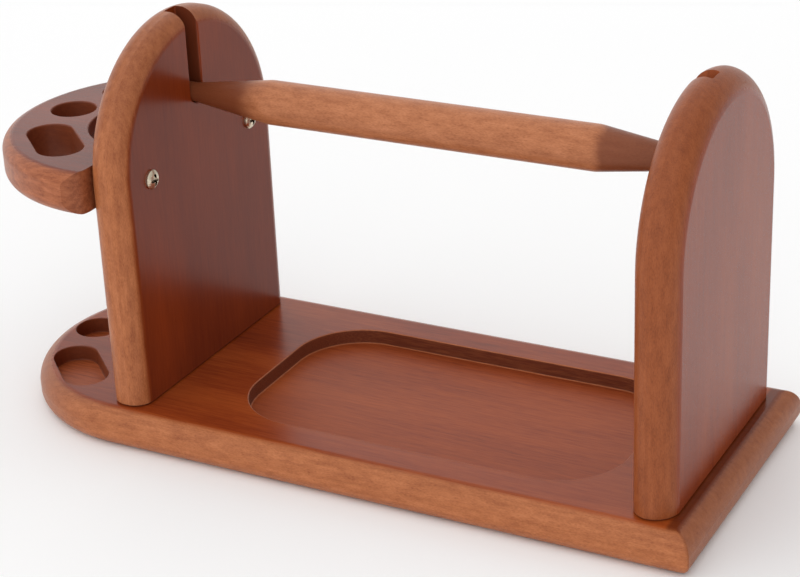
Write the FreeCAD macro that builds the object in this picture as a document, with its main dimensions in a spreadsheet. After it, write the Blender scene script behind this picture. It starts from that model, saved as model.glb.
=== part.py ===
import FreeCAD, Part
import math
import os
import Sketcher

# A wooden tool caddy: a base board with a tray, two arched uprights, a turned rod that rests in
# grooves, and a half-round shelf with tool holes. Millimetres, +Z up, +X along the board. The
# origin is on the floor below the middle of the rod.

SIZES = {
    # Base board
    "base_width": 124.4,
    "base_thick": 15.5,
    "base_end_margin": 9.2,
    "base_nose_setback": 2.7,
    "base_top_round": 6.8,
    "base_foot_round": 5,
    # Tray in the base
    "tray_length": 156.6,
    "tray_width": 86,
    "tray_depth": 6,
    "tray_corner": 27,
    "tray_floor_round": 0.6,
    "tray_shift": 6.7,
    # Uprights
    "bay_length": 200,
    "upright_width": 110,
    "upright_height": 144.2,
    "upright_thick": 16,
    "upright_round": 6.5,
    # Rod, and the grooves it drops into
    "rod_height": 111.7,
    "rod_diameter": 17,
    "rod_barrel": 133.5,
    "rod_tip_diameter": 7.5,
    "rod_tip_bevel": 1,
    "groove_depth": 9.5,
    "groove_clearance": 0.15,
    "rod_end_play": 0.5,
    # Shelf
    "shelf_height": 80.1,
    "shelf_thick": 17,
    "shelf_radius": 61.7,
    "shelf_reach": 64.3,
    "shelf_round": 4.8,
    "shelf_corner": 8,
    "shelf_bay_radius": 30,
    # Tool holes in the shelf, with recesses of the same outline below them in the base
    "tool_pitch_radius": 43.8,
    "tool_hole_diameter": 18,
    "tool_slot_width": 18,
    "tool_slot_length": 37,
    "tool_slot_angle": 47.5,
    "recess_depth": 6.3,
    # Screws that hold the shelf
    "shelf_screw_spacing": 71,
    "shelf_screw_length": 28,
    "shelf_screw_shank": 3.5,
    "shelf_screw_head": 7.5,
    "shelf_screw_head_height": 2.4,
    "shelf_screw_head_rim": 0.8,
    # Screws that hold the uprights
    "foot_screw_spacing": 60,
    "foot_screw_length": 38,
    "foot_screw_shank": 4,
    "foot_screw_head": 8,
    "foot_screw_rim": 0.4,
    "foot_screw_sink": 0.6,
    # All screws
    "screw_point": 5,
    "screw_clearance": 0.1,
    "pilot_end_room": 1,
}

# Expressions that several pieces share
OUTER_FACE = "(Sizes.bay_length / 2 + Sizes.upright_thick)"
GROOVE_RADIUS = "(Sizes.rod_tip_diameter / 2 + Sizes.groove_clearance)"
SHELF_MIDDLE = "(Sizes.shelf_height + Sizes.shelf_thick / 2)"
SHELF_SCREW_HOLE = "(Sizes.shelf_screw_shank + 2 * Sizes.screw_clearance)"
FOOT_SCREW_HOLE = "(Sizes.foot_screw_shank + 2 * Sizes.screw_clearance)"

# The sketcher's own marks: the origin point, the two axes, and a curve's start, end and centre
ORIGIN = (-1, 1)
V_AXIS, H_AXIS = range(-2, 0)
START, END, CENTRE = range(1, 4)

UP = FreeCAD.Vector(0, 0, 1)
HALF_TURN = FreeCAD.Rotation(UP, 180)
OVERSHOOT = 5
TOLERANCE = 1e-4

doc = FreeCAD.newDocument("ToolCaddy")
sheet = doc.addObject("Spreadsheet::Sheet", "Sizes")
for row, (alias, size) in enumerate(SIZES.items(), start=1):
    sheet.set(f"A{row}", alias)
    sheet.set(f"B{row}", str(size))
    sheet.setAlias(f"B{row}", alias)
doc.recompute()


def worth(expression):
    """The number that an expression on the sheet comes to."""
    return float(sheet.evalExpression(expression))


def new_body(label, x="0", y="0", z="0", rotation=None):
    body = doc.addObject("PartDesign::Body", label)
    body.Label = label
    if rotation:
        body.Placement = FreeCAD.Placement(FreeCAD.Vector(), rotation)
    for axis, expression in (("x", x), ("y", y), ("z", z)):
        body.setExpression(f"Placement.Base.{axis}", expression)
    return body


def origin_feature(body, role):
    return next(item for item in body.Origin.OriginFeatures if item.Role == role)


def new_sketch(body, name, plane, lift=None):
    sketch = body.newObject("Sketcher::SketchObject", name)
    sketch.AttachmentSupport = [(origin_feature(body, plane), "")]
    sketch.MapMode = "FlatFace"
    if lift:
        sketch.setExpression("AttachmentOffset.Base.z", lift)
    return sketch


def drive(sketch, kind, first, second, expression):
    """A dimension from one point, or curve, to another, bound to an expression."""
    index = sketch.addConstraint(Sketcher.Constraint(kind, *first, *second, worth(expression)))
    name = f"size_{index}"
    sketch.renameConstraint(index, name)
    sketch.setExpression(f"Constraints.{name}", expression)


def place(sketch, curve, point, x=None, y=None):
    """Sets a point's place from the sketch's origin. A minus sign in front counts the other way."""
    for kind, axis, expression in (("DistanceX", V_AXIS, x), ("DistanceY", H_AXIS, y)):
        if expression is None:
            continue
        if expression == "0":
            sketch.addConstraint(Sketcher.Constraint("PointOnObject", curve, point, axis))
        elif expression.startswith("-"):
            drive(sketch, kind, (curve, point), ORIGIN, expression[1:])
        else:
            drive(sketch, kind, ORIGIN, (curve, point), expression)


def set_radius(sketch, curve, expression):
    drive(sketch, "Radius", (curve,), (), expression)


def add_line(sketch, start, end):
    return sketch.addGeometry(Part.LineSegment(FreeCAD.Vector(*start, 0), FreeCAD.Vector(*end, 0)))


def add_arc(sketch, centre, radius, first, last):
    """An arc drawn anticlockwise from one angle to another, in radians."""
    circle = Part.Circle(FreeCAD.Vector(*centre, 0), UP, radius)
    return sketch.addGeometry(Part.ArcOfCircle(circle, first, last))


def close_chain(sketch, curves, smooth=True):
    """Joins each curve's end to the next one's start, tangent where an arc takes part."""
    for here, after in zip(curves, curves[1:] + curves[:1]):
        kinds = (sketch.Geometry[here], sketch.Geometry[after])
        has_arc = any(isinstance(kind, Part.ArcOfCircle) for kind in kinds)
        kind = "Tangent" if smooth and has_arc else "Coincident"
        sketch.addConstraint(Sketcher.Constraint(kind, here, END, after, START))


def level(sketch, *lines):
    for line in lines:
        sketch.addConstraint(Sketcher.Constraint("Horizontal", line))


def upright_lines(sketch, *lines):
    for line in lines:
        sketch.addConstraint(Sketcher.Constraint("Vertical", line))


def add_circle(sketch, x, y, diameter):
    centre = FreeCAD.Vector(worth(x), worth(y), 0)
    curve = sketch.addGeometry(Part.Circle(centre, UP, worth(diameter) / 2))
    place(sketch, curve, CENTRE, x, y)
    set_radius(sketch, curve, f"{diameter} / 2")


def add_outline(sketch, corners):
    """A closed outline of straight lines through corners given as pairs of expressions."""
    points = [(worth(x), worth(y)) for x, y in corners]
    lines = [add_line(sketch, a, b) for a, b in zip(points, points[1:] + points[:1])]
    close_chain(sketch, lines)
    for line, (x, y) in zip(lines, corners):
        place(sketch, line, START, x, y)
    return lines


def add_pad(body, sketch, length):
    pad = body.newObject("PartDesign::Pad", f"{sketch.Name}Board")
    pad.Profile = sketch
    pad.setExpression("Length", length)
    doc.recompute()
    return pad


def add_pocket(body, sketch, depth=None, forward=False):
    """Cuts against the sketch's normal, or along it if forward, right through with no depth."""
    before = body.Shape.Volume
    pocket = body.newObject("PartDesign::Pocket", f"{sketch.Name}Cut")
    pocket.Profile = sketch
    pocket.Reversed = forward
    if depth:
        pocket.setExpression("Length", depth)
    else:
        pocket.Type = "ThroughAll"
    doc.recompute()
    if body.Shape.Volume > before - TOLERANCE:
        raise RuntimeError(f"{pocket.Name} cuts nothing from {body.Label}")
    return pocket


def near(a, b):
    return abs(a - b) < TOLERANCE


def edges_at(feature, **place):
    """Names of the edges whose ends all have the coordinates given."""
    names = set()
    for number, edge in enumerate(feature.Shape.Edges, start=1):
        ends = [vertex.Point for vertex in edge.Vertexes]
        if all(near(getattr(end, axis), at) for end in ends for axis, at in place.items()):
            names.add(f"Edge{number}")
    return names


def add_fillet(body, feature, radius, edges):
    fillet = body.newObject("PartDesign::Fillet", "Round")
    fillet.Base = (feature, sorted(edges))
    fillet.setExpression("Radius", radius)
    doc.recompute()
    return fillet


def add_revolution(body, sketch, axis):
    turned = body.newObject("PartDesign::Revolution", "Turning")
    turned.Profile = sketch
    turned.ReferenceAxis = (origin_feature(body, axis), [""])
    turned.Angle = math.degrees(math.tau)
    doc.recompute()
    return turned


def mirror_cut(body, cut):
    """Repeats a cut on the other side of the middle of a body."""
    mirrored = body.newObject("PartDesign::Mirrored", f"{cut.Name}Mirrored")
    mirrored.Originals = [cut]
    mirrored.MirrorPlane = (origin_feature(body, "XZ_Plane"), [""])
    body.Tip = mirrored
    doc.recompute()


def slot_outline(sketch):
    """A slot along the sketch's y axis, with half-round ends."""
    end_centre = "((Sizes.tool_slot_length - Sizes.tool_slot_width) / 2)"
    middle, end_y = worth("Sizes.tool_pitch_radius"), worth(end_centre)
    radius = worth("Sizes.tool_slot_width / 2")
    far_x, near_x = middle + radius, middle - radius
    curves = [
        add_line(sketch, (far_x, -end_y), (far_x, end_y)),
        add_arc(sketch, (middle, end_y), radius, 0, math.pi),
        add_line(sketch, (near_x, end_y), (near_x, -end_y)),
        add_arc(sketch, (middle, -end_y), radius, math.pi, math.tau),
    ]
    close_chain(sketch, curves)
    for end, y in ((curves[1], end_centre), (curves[3], f"-{end_centre}")):
        place(sketch, end, CENTRE, "Sizes.tool_pitch_radius", y)
        set_radius(sketch, end, "Sizes.tool_slot_width / 2")


def tool_hole_cuts(body, lift, centre_x, depth=None):
    """The round hole and, to each side of it, a slot with half-round ends, cut down from a level."""
    round_hole = new_sketch(body, "RoundHole", "XY_Plane", lift)
    add_circle(round_hole, f"-({centre_x} + Sizes.tool_pitch_radius)", "0", "Sizes.tool_hole_diameter")
    add_pocket(body, round_hole, depth)

    slot = new_sketch(body, "Slot", "XY_Plane", lift)
    slot.AttachmentOffset = FreeCAD.Placement(FreeCAD.Vector(), FreeCAD.Rotation(UP, 1))
    slot.setExpression("AttachmentOffset.Base.x", f"-{centre_x}")
    slot.setExpression("AttachmentOffset.Rotation.Angle", "180 + Sizes.tool_slot_angle")
    slot_outline(slot)
    mirror_cut(body, add_pocket(body, slot, depth))


def build_base_board():
    body = new_body("base_board")
    half = worth("Sizes.base_width / 2")
    nose_centre = f"({OUTER_FACE} - Sizes.base_nose_setback)"
    left = -worth(nose_centre)
    right_end = f"{OUTER_FACE} + Sizes.base_end_margin"
    right = worth(right_end)
    outline = new_sketch(body, "BaseOutline", "XY_Plane")
    round_end = add_arc(outline, (left, 0), half, math.pi / 2, 3 * math.pi / 2)
    front = add_line(outline, (left, -half), (right, -half))
    end = add_line(outline, (right, -half), (right, half))
    back = add_line(outline, (right, half), (left, half))
    close_chain(outline, [round_end, front, end, back])
    level(outline, front, back)
    upright_lines(outline, end)
    place(outline, round_end, CENTRE, f"-{nose_centre}", "0")
    place(outline, end, START, right_end)
    set_radius(outline, round_end, "Sizes.base_width / 2")
    board = add_pad(body, outline, "Sizes.base_thick")

    top = worth("Sizes.base_thick")
    rounded = add_fillet(body, board, "Sizes.base_top_round", edges_at(board, z=top))
    add_fillet(body, rounded, "Sizes.base_foot_round", edges_at(rounded, z=0))

    tray = add_pocket(body, tray_sketch(body), "Sizes.tray_depth")
    floor = worth("Sizes.base_thick - Sizes.tray_depth")
    add_fillet(body, tray, "Sizes.tray_floor_round", edges_at(tray, z=floor))
    tool_hole_cuts(body, "Sizes.base_thick", OUTER_FACE, "Sizes.recess_depth")
    foot_screw_holes(body)


def tray_sketch(body):
    sketch = new_sketch(body, "Tray", "XY_Plane", "Sizes.base_thick")
    left = "-(Sizes.tray_length / 2 - Sizes.tray_shift)"
    right = "Sizes.tray_length / 2 + Sizes.tray_shift"
    x_left, x_right = worth(left), worth(right)
    half = worth("Sizes.tray_width / 2")
    corner = worth("Sizes.tray_corner")
    quarter = math.pi / 2
    inner_left, inner_right, inner = x_left + corner, x_right - corner, half - corner
    curves = [
        add_line(sketch, (inner_left, -half), (inner_right, -half)),
        add_arc(sketch, (inner_right, -inner), corner, 3 * quarter, math.tau),
        add_line(sketch, (x_right, -inner), (x_right, inner)),
        add_arc(sketch, (inner_right, inner), corner, 0, quarter),
        add_line(sketch, (inner_right, half), (inner_left, half)),
        add_arc(sketch, (inner_left, inner), corner, quarter, math.pi),
        add_line(sketch, (x_left, inner), (x_left, -inner)),
        add_arc(sketch, (inner_left, -inner), corner, math.pi, 3 * quarter),
    ]
    close_chain(sketch, curves)
    front, arc_1, end, arc_2, back, arc_3, start, arc_4 = curves
    level(sketch, front, back)
    upright_lines(sketch, end, start)
    place(sketch, front, START, y="-Sizes.tray_width / 2")
    place(sketch, back, START, y="Sizes.tray_width / 2")
    place(sketch, start, START, x=left)
    place(sketch, end, START, x=right)
    for arc in (arc_1, arc_2, arc_3, arc_4):
        set_radius(sketch, arc, "Sizes.tray_corner")
    return sketch


def foot_screw_places():
    """Name, and place across and along the board, of each screw that holds an upright."""
    along = "(Sizes.bay_length / 2 + Sizes.upright_thick / 2)"
    across = "Sizes.foot_screw_spacing / 2"
    for side, x in (("left", f"-{along}"), ("right", along)):
        for end, y in (("front", f"-{across}"), ("rear", across)):
            yield f"{side}_upright_screw_{end}", x, y


def foot_screw_holes(body):
    """Countersunk clearance holes, bored up from the underside."""
    sketch = new_sketch(body, "ScrewHoles", "XY_Plane")
    for _, x, y in foot_screw_places():
        add_circle(sketch, x, y, FOOT_SCREW_HOLE)
    doc.recompute()
    before = body.Shape.Volume
    hole = body.newObject("PartDesign::Hole", "Countersinks")
    hole.Profile = sketch
    hole.Reversed = True
    hole.DepthType = "ThroughAll"
    hole.setExpression("Diameter", FOOT_SCREW_HOLE)
    hole.HoleCutType = "Countersink"
    hole.HoleCutCustomValues = True
    hole.HoleCutCountersinkAngle = 90
    head = "Sizes.foot_screw_head + 2 * Sizes.screw_clearance"
    sunk = "2 * (Sizes.foot_screw_sink + Sizes.foot_screw_rim)"
    hole.setExpression("HoleCutDiameter", f"{head} + {sunk}")
    doc.recompute()
    if body.Shape.Volume > before - TOLERANCE:
        raise RuntimeError("The countersinks cut nothing")


def build_upright(label, side, carries_shelf):
    """Stands with its inner face at x = 0 and its thickness along +X, and is turned for the left."""
    rotation = HALF_TURN if side == "-" else None
    body = new_body(label, f"{side}Sizes.bay_length / 2", "0", "Sizes.base_thick", rotation)
    half = worth("Sizes.upright_width / 2")
    height = worth("Sizes.upright_height")
    profile = new_sketch(body, "Arch", "YZ_Plane")
    foot = add_line(profile, (-half, 0), (half, 0))
    near_edge = add_line(profile, (half, 0), (half, height - half))
    arch = add_arc(profile, (0, height - half), half, 0, math.pi)
    far_edge = add_line(profile, (-half, height - half), (-half, 0))
    close_chain(profile, [foot, near_edge, arch, far_edge])
    level(profile, foot)
    upright_lines(profile, near_edge, far_edge)
    place(profile, foot, START, y="0")
    place(profile, arch, CENTRE, "0", "Sizes.upright_height - Sizes.upright_width / 2")
    set_radius(profile, arch, "Sizes.upright_width / 2")
    board = add_pad(body, profile, "Sizes.upright_thick")

    thick = worth("Sizes.upright_thick")
    for face in (0, thick):
        edges = edges_at(board, x=face) - edges_at(board, z=0)
        board = add_fillet(body, board, "Sizes.upright_round", edges)

    add_pocket(body, groove_sketch(body), "Sizes.groove_depth", forward=True)

    pilots = new_sketch(body, "FootPilots", "XY_Plane")
    for end in ("-", ""):
        across = f"{end}Sizes.foot_screw_spacing / 2"
        add_circle(pilots, "Sizes.upright_thick / 2", across, FOOT_SCREW_HOLE)
    reach = "Sizes.foot_screw_sink + Sizes.foot_screw_length - Sizes.base_thick + Sizes.pilot_end_room"
    add_pocket(body, pilots, reach, forward=True)

    if carries_shelf:
        holes = new_sketch(body, "ShelfScrewHoles", "YZ_Plane")
        for end in ("-", ""):
            add_circle(holes, f"{end}Sizes.shelf_screw_spacing / 2", SHELF_MIDDLE, SHELF_SCREW_HOLE)
        add_pocket(body, holes, forward=True)


def groove_sketch(body):
    """A slot with a round bottom, open at the top of the arch, that the rod's tip drops into."""
    sketch = new_sketch(body, "Groove", "YZ_Plane")
    radius = worth(GROOVE_RADIUS)
    height = worth("Sizes.rod_height")
    top = worth("Sizes.upright_height") + OVERSHOOT
    seat = add_arc(sketch, (0, height), radius, math.pi, math.tau)
    right = add_line(sketch, (radius, height), (radius, top))
    mouth = add_line(sketch, (radius, top), (-radius, top))
    left = add_line(sketch, (-radius, top), (-radius, height))
    close_chain(sketch, [seat, right, mouth, left])
    upright_lines(sketch, right, left)
    level(sketch, mouth)
    place(sketch, seat, CENTRE, "0", "Sizes.rod_height")
    place(sketch, mouth, START, y=f"Sizes.upright_height + {OVERSHOOT}")
    set_radius(sketch, seat, GROOVE_RADIUS)
    return sketch


def build_tool_shelf():
    """A half disc with its back face at x = 0 and its underside at z = 0."""
    body = new_body("tool_shelf", f"-{OUTER_FACE}", "0", "Sizes.base_thick + Sizes.shelf_height")
    disc = new_sketch(body, "Disc", "XY_Plane")
    add_circle(disc, "-(Sizes.shelf_reach - Sizes.shelf_radius)", "0", "(2 * Sizes.shelf_radius)")
    board = add_pad(body, disc, "Sizes.shelf_thick")
    top = worth("Sizes.shelf_thick")
    add_fillet(body, board, "Sizes.shelf_round", edges_at(board, z=0) | edges_at(board, z=top))

    behind = new_sketch(body, "BehindBack", "XY_Plane", "Sizes.shelf_thick")
    side = f"Sizes.shelf_radius + {OVERSHOOT}"
    add_outline(behind, [("0", f"-({side})"), (side, f"-({side})"), (side, side), ("0", side)])
    add_pocket(body, behind)

    mirror_cut(body, add_pocket(body, shelf_corner_sketch(body)))

    bay = new_sketch(body, "BackBay", "XY_Plane", "Sizes.shelf_thick")
    add_circle(bay, "0", "0", "(2 * Sizes.shelf_bay_radius)")
    add_pocket(body, bay)
    tool_hole_cuts(body, "Sizes.shelf_thick", "0")

    pilots = new_sketch(body, "ScrewPilots", "YZ_Plane")
    for end in ("-", ""):
        across = f"{end}Sizes.shelf_screw_spacing / 2"
        add_circle(pilots, across, "Sizes.shelf_thick / 2", SHELF_SCREW_HOLE)
    add_pocket(body, pilots, "Sizes.shelf_screw_length - Sizes.upright_thick + Sizes.pilot_end_room")


def shelf_corner_sketch(body):
    """What is taken off beside a quarter round where the shelf's nose meets its back."""
    sketch = new_sketch(body, "Corner", "XY_Plane", "Sizes.shelf_thick")
    setback = "(Sizes.shelf_reach - Sizes.shelf_radius)"
    centre_x = "-Sizes.shelf_corner"
    centre_y = f"(sqrt(Sizes.shelf_radius ^ 2 - {setback} ^ 2) - Sizes.shelf_corner)"
    past_side = f"Sizes.shelf_radius + {OVERSHOOT}"
    past_back = f"Sizes.shelf_corner + {OVERSHOOT}"
    corner = worth("Sizes.shelf_corner")
    x, y = worth(centre_x), worth(centre_y)
    far_x, far_y = worth(past_back), worth(past_side)
    curves = [
        add_arc(sketch, (x, y), corner, 0, math.pi / 2),
        add_line(sketch, (x, y + corner), (x, far_y)),
        add_line(sketch, (x, far_y), (far_x, far_y)),
        add_line(sketch, (far_x, far_y), (far_x, y)),
        add_line(sketch, (far_x, y), (0, y)),
    ]
    close_chain(sketch, curves, smooth=False)
    bend, side, top, end, back = curves
    upright_lines(sketch, side, end)
    level(sketch, top, back)
    place(sketch, bend, CENTRE, centre_x, centre_y)
    place(sketch, bend, START, y=centre_y)
    place(sketch, bend, END, x=centre_x)
    place(sketch, end, START, past_back, past_side)
    set_radius(sketch, bend, "Sizes.shelf_corner")
    return sketch


def build_hanging_rod():
    """A turned rod: a straight barrel, a long taper to each side and a tip that sits in a groove."""
    body = new_body("hanging_rod", z="Sizes.base_thick + Sizes.rod_height")
    end = "(Sizes.bay_length / 2 + Sizes.groove_depth - Sizes.rod_end_play)"
    bevelled = f"({end} - Sizes.rod_tip_bevel)"
    shoulder = "Sizes.bay_length / 2"
    barrel = "Sizes.rod_barrel / 2"
    thin = "Sizes.rod_tip_diameter / 2"
    thick = "Sizes.rod_diameter / 2"
    half = [
        (end, "0"),
        (end, f"{thin} - Sizes.rod_tip_bevel"),
        (bevelled, thin),
        (shoulder, thin),
        (barrel, thick),
    ]
    other_half = [(f"-{x}", y) for x, y in reversed(half)]
    profile = new_sketch(body, "RodProfile", "XZ_Plane")
    add_outline(profile, half + other_half)
    add_revolution(body, profile, "X_Axis")


def build_shelf_screw(label, y):
    """A pan-head wood screw: its head lies on the upright's inner face, its shank runs along -X."""
    height = f"Sizes.base_thick + {SHELF_MIDDLE}"
    body = new_body(label, "-Sizes.bay_length / 2", y, height)
    shank = "Sizes.shelf_screw_shank / 2"
    profile = new_sketch(body, "ScrewProfile", "XZ_Plane")
    head = worth("Sizes.shelf_screw_head / 2")
    rim = worth("Sizes.shelf_screw_head_rim")
    rise = worth("Sizes.shelf_screw_head_height") - rim
    crown = (head ** 2 + rise ** 2) / (2 * rise)
    crown_centre = (worth("Sizes.shelf_screw_head_height") - crown, 0)
    swing = math.asin(head / crown)
    corners = [
        ("0", "Sizes.shelf_screw_head / 2"),
        ("0", shank),
        ("-(Sizes.shelf_screw_length - Sizes.screw_point)", shank),
        ("-Sizes.shelf_screw_length", "0"),
        ("Sizes.shelf_screw_head_height", "0"),
    ]
    points = [(worth(x), worth(y)) for x, y in corners]
    dome = add_arc(profile, crown_centre, crown, 0, swing)
    side = add_line(profile, (rim, head), points[0])
    rest = [add_line(profile, a, b) for a, b in zip(points, points[1:])]
    close_chain(profile, [dome, side] + rest, smooth=False)
    place(profile, dome, CENTRE, y="0")
    place(profile, side, START, "Sizes.shelf_screw_head_rim", "Sizes.shelf_screw_head / 2")
    for line, (x, y) in zip([side] + rest, corners):
        place(profile, line, END, x, y)
    add_revolution(body, profile, "X_Axis")


def build_foot_screw(label, x, y):
    """A countersunk wood screw, point up, with its head just inside the base's underside."""
    body = new_body(label, x, y, "Sizes.foot_screw_sink")
    head = "Sizes.foot_screw_head / 2"
    shank = "Sizes.foot_screw_shank / 2"
    neck = f"Sizes.foot_screw_rim + {head} - {shank}"
    profile = new_sketch(body, "ScrewProfile", "XZ_Plane")
    add_outline(profile, [
        ("0", "0"),
        (head, "0"),
        (head, "Sizes.foot_screw_rim"),
        (shank, neck),
        (shank, "Sizes.foot_screw_length - Sizes.screw_point"),
        ("0", "Sizes.foot_screw_length"),
    ])
    add_revolution(body, profile, "Z_Axis")


build_base_board()
build_upright("left_upright", "-", carries_shelf=True)
build_upright("right_upright", "", carries_shelf=False)
build_tool_shelf()
build_hanging_rod()
build_shelf_screw("shelf_screw_front", "-Sizes.shelf_screw_spacing / 2")
build_shelf_screw("shelf_screw_rear", "Sizes.shelf_screw_spacing / 2")
for screw, along, across in foot_screw_places():
    build_foot_screw(screw, along, across)
doc.recompute()

for item in doc.Objects:
    if "Invalid" in item.State or "Error" in item.State:
        raise RuntimeError(f"{item.Name} failed: {item.State}")
    if item.TypeId == "Sketcher::SketchObject" and not item.FullyConstrained:
        raise RuntimeError(f"{item.Name} isn't fully constrained")

bodies = [item for item in doc.Objects if item.TypeId == "PartDesign::Body"]
for body in bodies:
    if body.Shape.isNull() or not body.Shape.isValid() or len(body.Shape.Solids) != 1:
        raise RuntimeError(f"{body.Label} isn't one valid solid")

os.makedirs("parts", exist_ok=True)
for body in bodies:
    body.Shape.exportStep(f"parts/{body.Label}.step")
    box = body.Shape.optimalBoundingBox()
    spans = f"{box.XLength:.1f} x {box.YLength:.1f} x {box.ZLength:.1f}"
    print(f"{body.Label}: {spans} mm, {body.Shape.Volume / 1000:.2f} cm3")
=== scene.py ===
"""Dresses a tool storage caddy: stained boards, a turned rod and their screws, on a pale floor."""

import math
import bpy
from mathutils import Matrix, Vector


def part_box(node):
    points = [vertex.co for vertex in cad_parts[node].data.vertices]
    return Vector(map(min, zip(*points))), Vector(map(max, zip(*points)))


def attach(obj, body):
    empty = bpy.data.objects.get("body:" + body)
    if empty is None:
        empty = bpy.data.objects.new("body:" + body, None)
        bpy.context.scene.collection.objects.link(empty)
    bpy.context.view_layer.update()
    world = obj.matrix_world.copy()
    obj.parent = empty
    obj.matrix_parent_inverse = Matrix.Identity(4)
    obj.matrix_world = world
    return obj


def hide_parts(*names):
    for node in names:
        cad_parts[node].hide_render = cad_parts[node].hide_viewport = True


bl_info = {
    "name": "Tool Storage Caddy",
    "version": (1, 0, 0),
    "blender": (4, 5, 0),
    "location": "3D View > Sidebar > Caddy",
    "description": "Builds a stained wooden tool caddy over its packed frame",
    "category": "Add Mesh",
}

import bmesh
import bpy
from bpy.props import FloatProperty, FloatVectorProperty, IntProperty, PointerProperty
from mathutils import Matrix, Vector, noise

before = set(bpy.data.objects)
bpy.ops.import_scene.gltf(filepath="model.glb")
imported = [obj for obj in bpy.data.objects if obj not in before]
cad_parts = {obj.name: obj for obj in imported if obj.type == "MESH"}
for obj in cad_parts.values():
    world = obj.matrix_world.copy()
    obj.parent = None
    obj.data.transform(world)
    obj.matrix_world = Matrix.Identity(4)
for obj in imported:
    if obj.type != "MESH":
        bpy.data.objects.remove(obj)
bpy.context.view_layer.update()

BASE_LOW, BASE_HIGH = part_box("base_board")
LEFT_LOW, LEFT_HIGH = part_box("left_upright")
RIGHT_LOW, RIGHT_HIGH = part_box("right_upright")
SHELF_LOW, SHELF_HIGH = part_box("tool_shelf")
ROD_LOW, ROD_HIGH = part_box("hanging_rod")
ROD_AXIS = (ROD_LOW.z + ROD_HIGH.z) / 2
SHELF_MIDDLE = (SHELF_LOW.z + SHELF_HIGH.z) / 2

UP = Vector((0, 0, 1))
ACROSS = Vector((1, 0, 0))

# Facets of a half circle, a circle, a corner, a rounded edge and a pocket's floor
ARC_STEPS = 96
HOLE_STEPS = 96
CORNER_STEPS = 24
ROUND_STEPS = 22
FLOOR_STEPS = 6
MOUTH_TURNS = [math.radians(turn) for turn in (72, 50, 25, 0)]

# How far a cutter starts outside the wood
CLEAR = 0.0003

# Edges that turn by more than this stay crisp
SHARP = math.radians(5.5)


def number(name, description, default, least=0, **more):
    return FloatProperty(name=name, description=description, default=default, min=least, **more)


def length(*words):
    return number(*words, unit="LENGTH", precision=5)


def angle(name, description, degrees):
    return number(name, description, math.radians(degrees), subtype="ANGLE")


def share(*words):
    return number(*words, max=1, subtype="FACTOR")


def shift(*words):
    return number(*words, least=-1, max=1)


def colour(name, description, default):
    return FloatVectorProperty(
        name=name, description=description, default=default, size=3, min=0, max=1, subtype="COLOR"
    )


RIDGE = "Ridge", "Turn of the surface at each side of a round edge"


class CaddyBaseSizes(bpy.types.PropertyGroup):
    top_round: length("Top round", "Round along the upper edge of the base", 0.0068)
    foot_round: length("Foot round", "Round along the lower edge of the base", 0.005)
    ridge: angle(*RIDGE, 7)
    corner: length("Corner", "Radius of the two square corners, seen from above", 0.0009)
    tray_start: length("Tray start", "How far the tray reaches to the left of the middle", 0.0716)
    tray_end: length("Tray end", "How far the tray reaches to the right of the middle", 0.085)
    tray_width: length("Tray width", "Width of the tray across the base", 0.086)
    tray_depth: length("Tray depth", "Depth of the tray", 0.006)
    tray_corner: length("Tray corner", "Radius of the tray's corners", 0.027)
    tray_floor_round: length("Tray floor round", "Round between the tray's wall and floor", 0.0006)
    recess_depth: length("Recess depth", "Depth of the tool recesses", 0.0063)
    rim: length("Rim", "Softened edge round the tray and the recesses", 0.0005)


class CaddyUprightSizes(bpy.types.PropertyGroup):
    edge_round: length("Edge round", "Round along the edges of the uprights", 0.0065)
    right_round: length("Right round", "Round along the outer edge of the right upright", 0.0085)
    ridge: angle(*RIDGE, 7)
    foot_bevel: length("Foot bevel", "Softened edge round the foot of the uprights", 0.0007)
    groove_width: length("Groove width", "Width of the groove that holds the rod", 0.0078)
    groove_depth: length("Groove depth", "Depth of the groove that holds the rod", 0.0095)
    rim: length("Rim", "Softened edge along the groove", 0.0009)


class CaddyShelfSizes(bpy.types.PropertyGroup):
    radius: length("Radius", "Radius of the shelf's nose", 0.0617)
    edge_round: length("Edge round", "Round along the edges of the shelf", 0.0048)
    ridge: angle(*RIDGE, 4)
    corner: length("Corner", "Radius of the quarter rounds beside the upright", 0.008)
    bay_radius: length("Bay radius", "Radius of the half-moon at the shelf's back", 0.03)
    pitch_radius: length("Pitch radius", "Distance of the tool holes from the shelf's back", 0.0438)
    hole_diameter: length("Hole diameter", "Diameter of the round tool hole", 0.018)
    slot_width: length("Slot width", "Width of the tool slots", 0.018)
    slot_length: length("Slot length", "Length of the tool slots", 0.037)
    slot_angle: angle("Slot angle", "Turn of each slot away from the shelf's middle", 47.5)
    rim: length("Rim", "Softened edge round the tool holes", 0.0006)


class CaddyRodSizes(bpy.types.PropertyGroup):
    diameter: length("Diameter", "Diameter of the rod's barrel", 0.017)
    barrel: length("Barrel", "Length of the straight part of the rod", 0.1335)
    tip_diameter: length("Tip diameter", "Diameter of the tips in the grooves", 0.0075)
    tip_bevel: length("Tip bevel", "Bevel at the very ends of the rod", 0.001)
    shoulder: length("Shoulder", "Softness where the barrel turns into the taper", 0.0002)
    left_run: length("Left run", "Length over which the left taper turns dark", 0.016)
    right_run: length("Right run", "Length over which the right taper turns dark", 0.004)
    stain_drift: length("Stain drift", "How far the start of the darker stain wanders", 0.0012)
    right_stain: share("Right stain", "How far the right taper darkens, of the left one", 0.6)
    rings: IntProperty(name="Rings", description="Rings along the rod", default=220, min=8)


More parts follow.
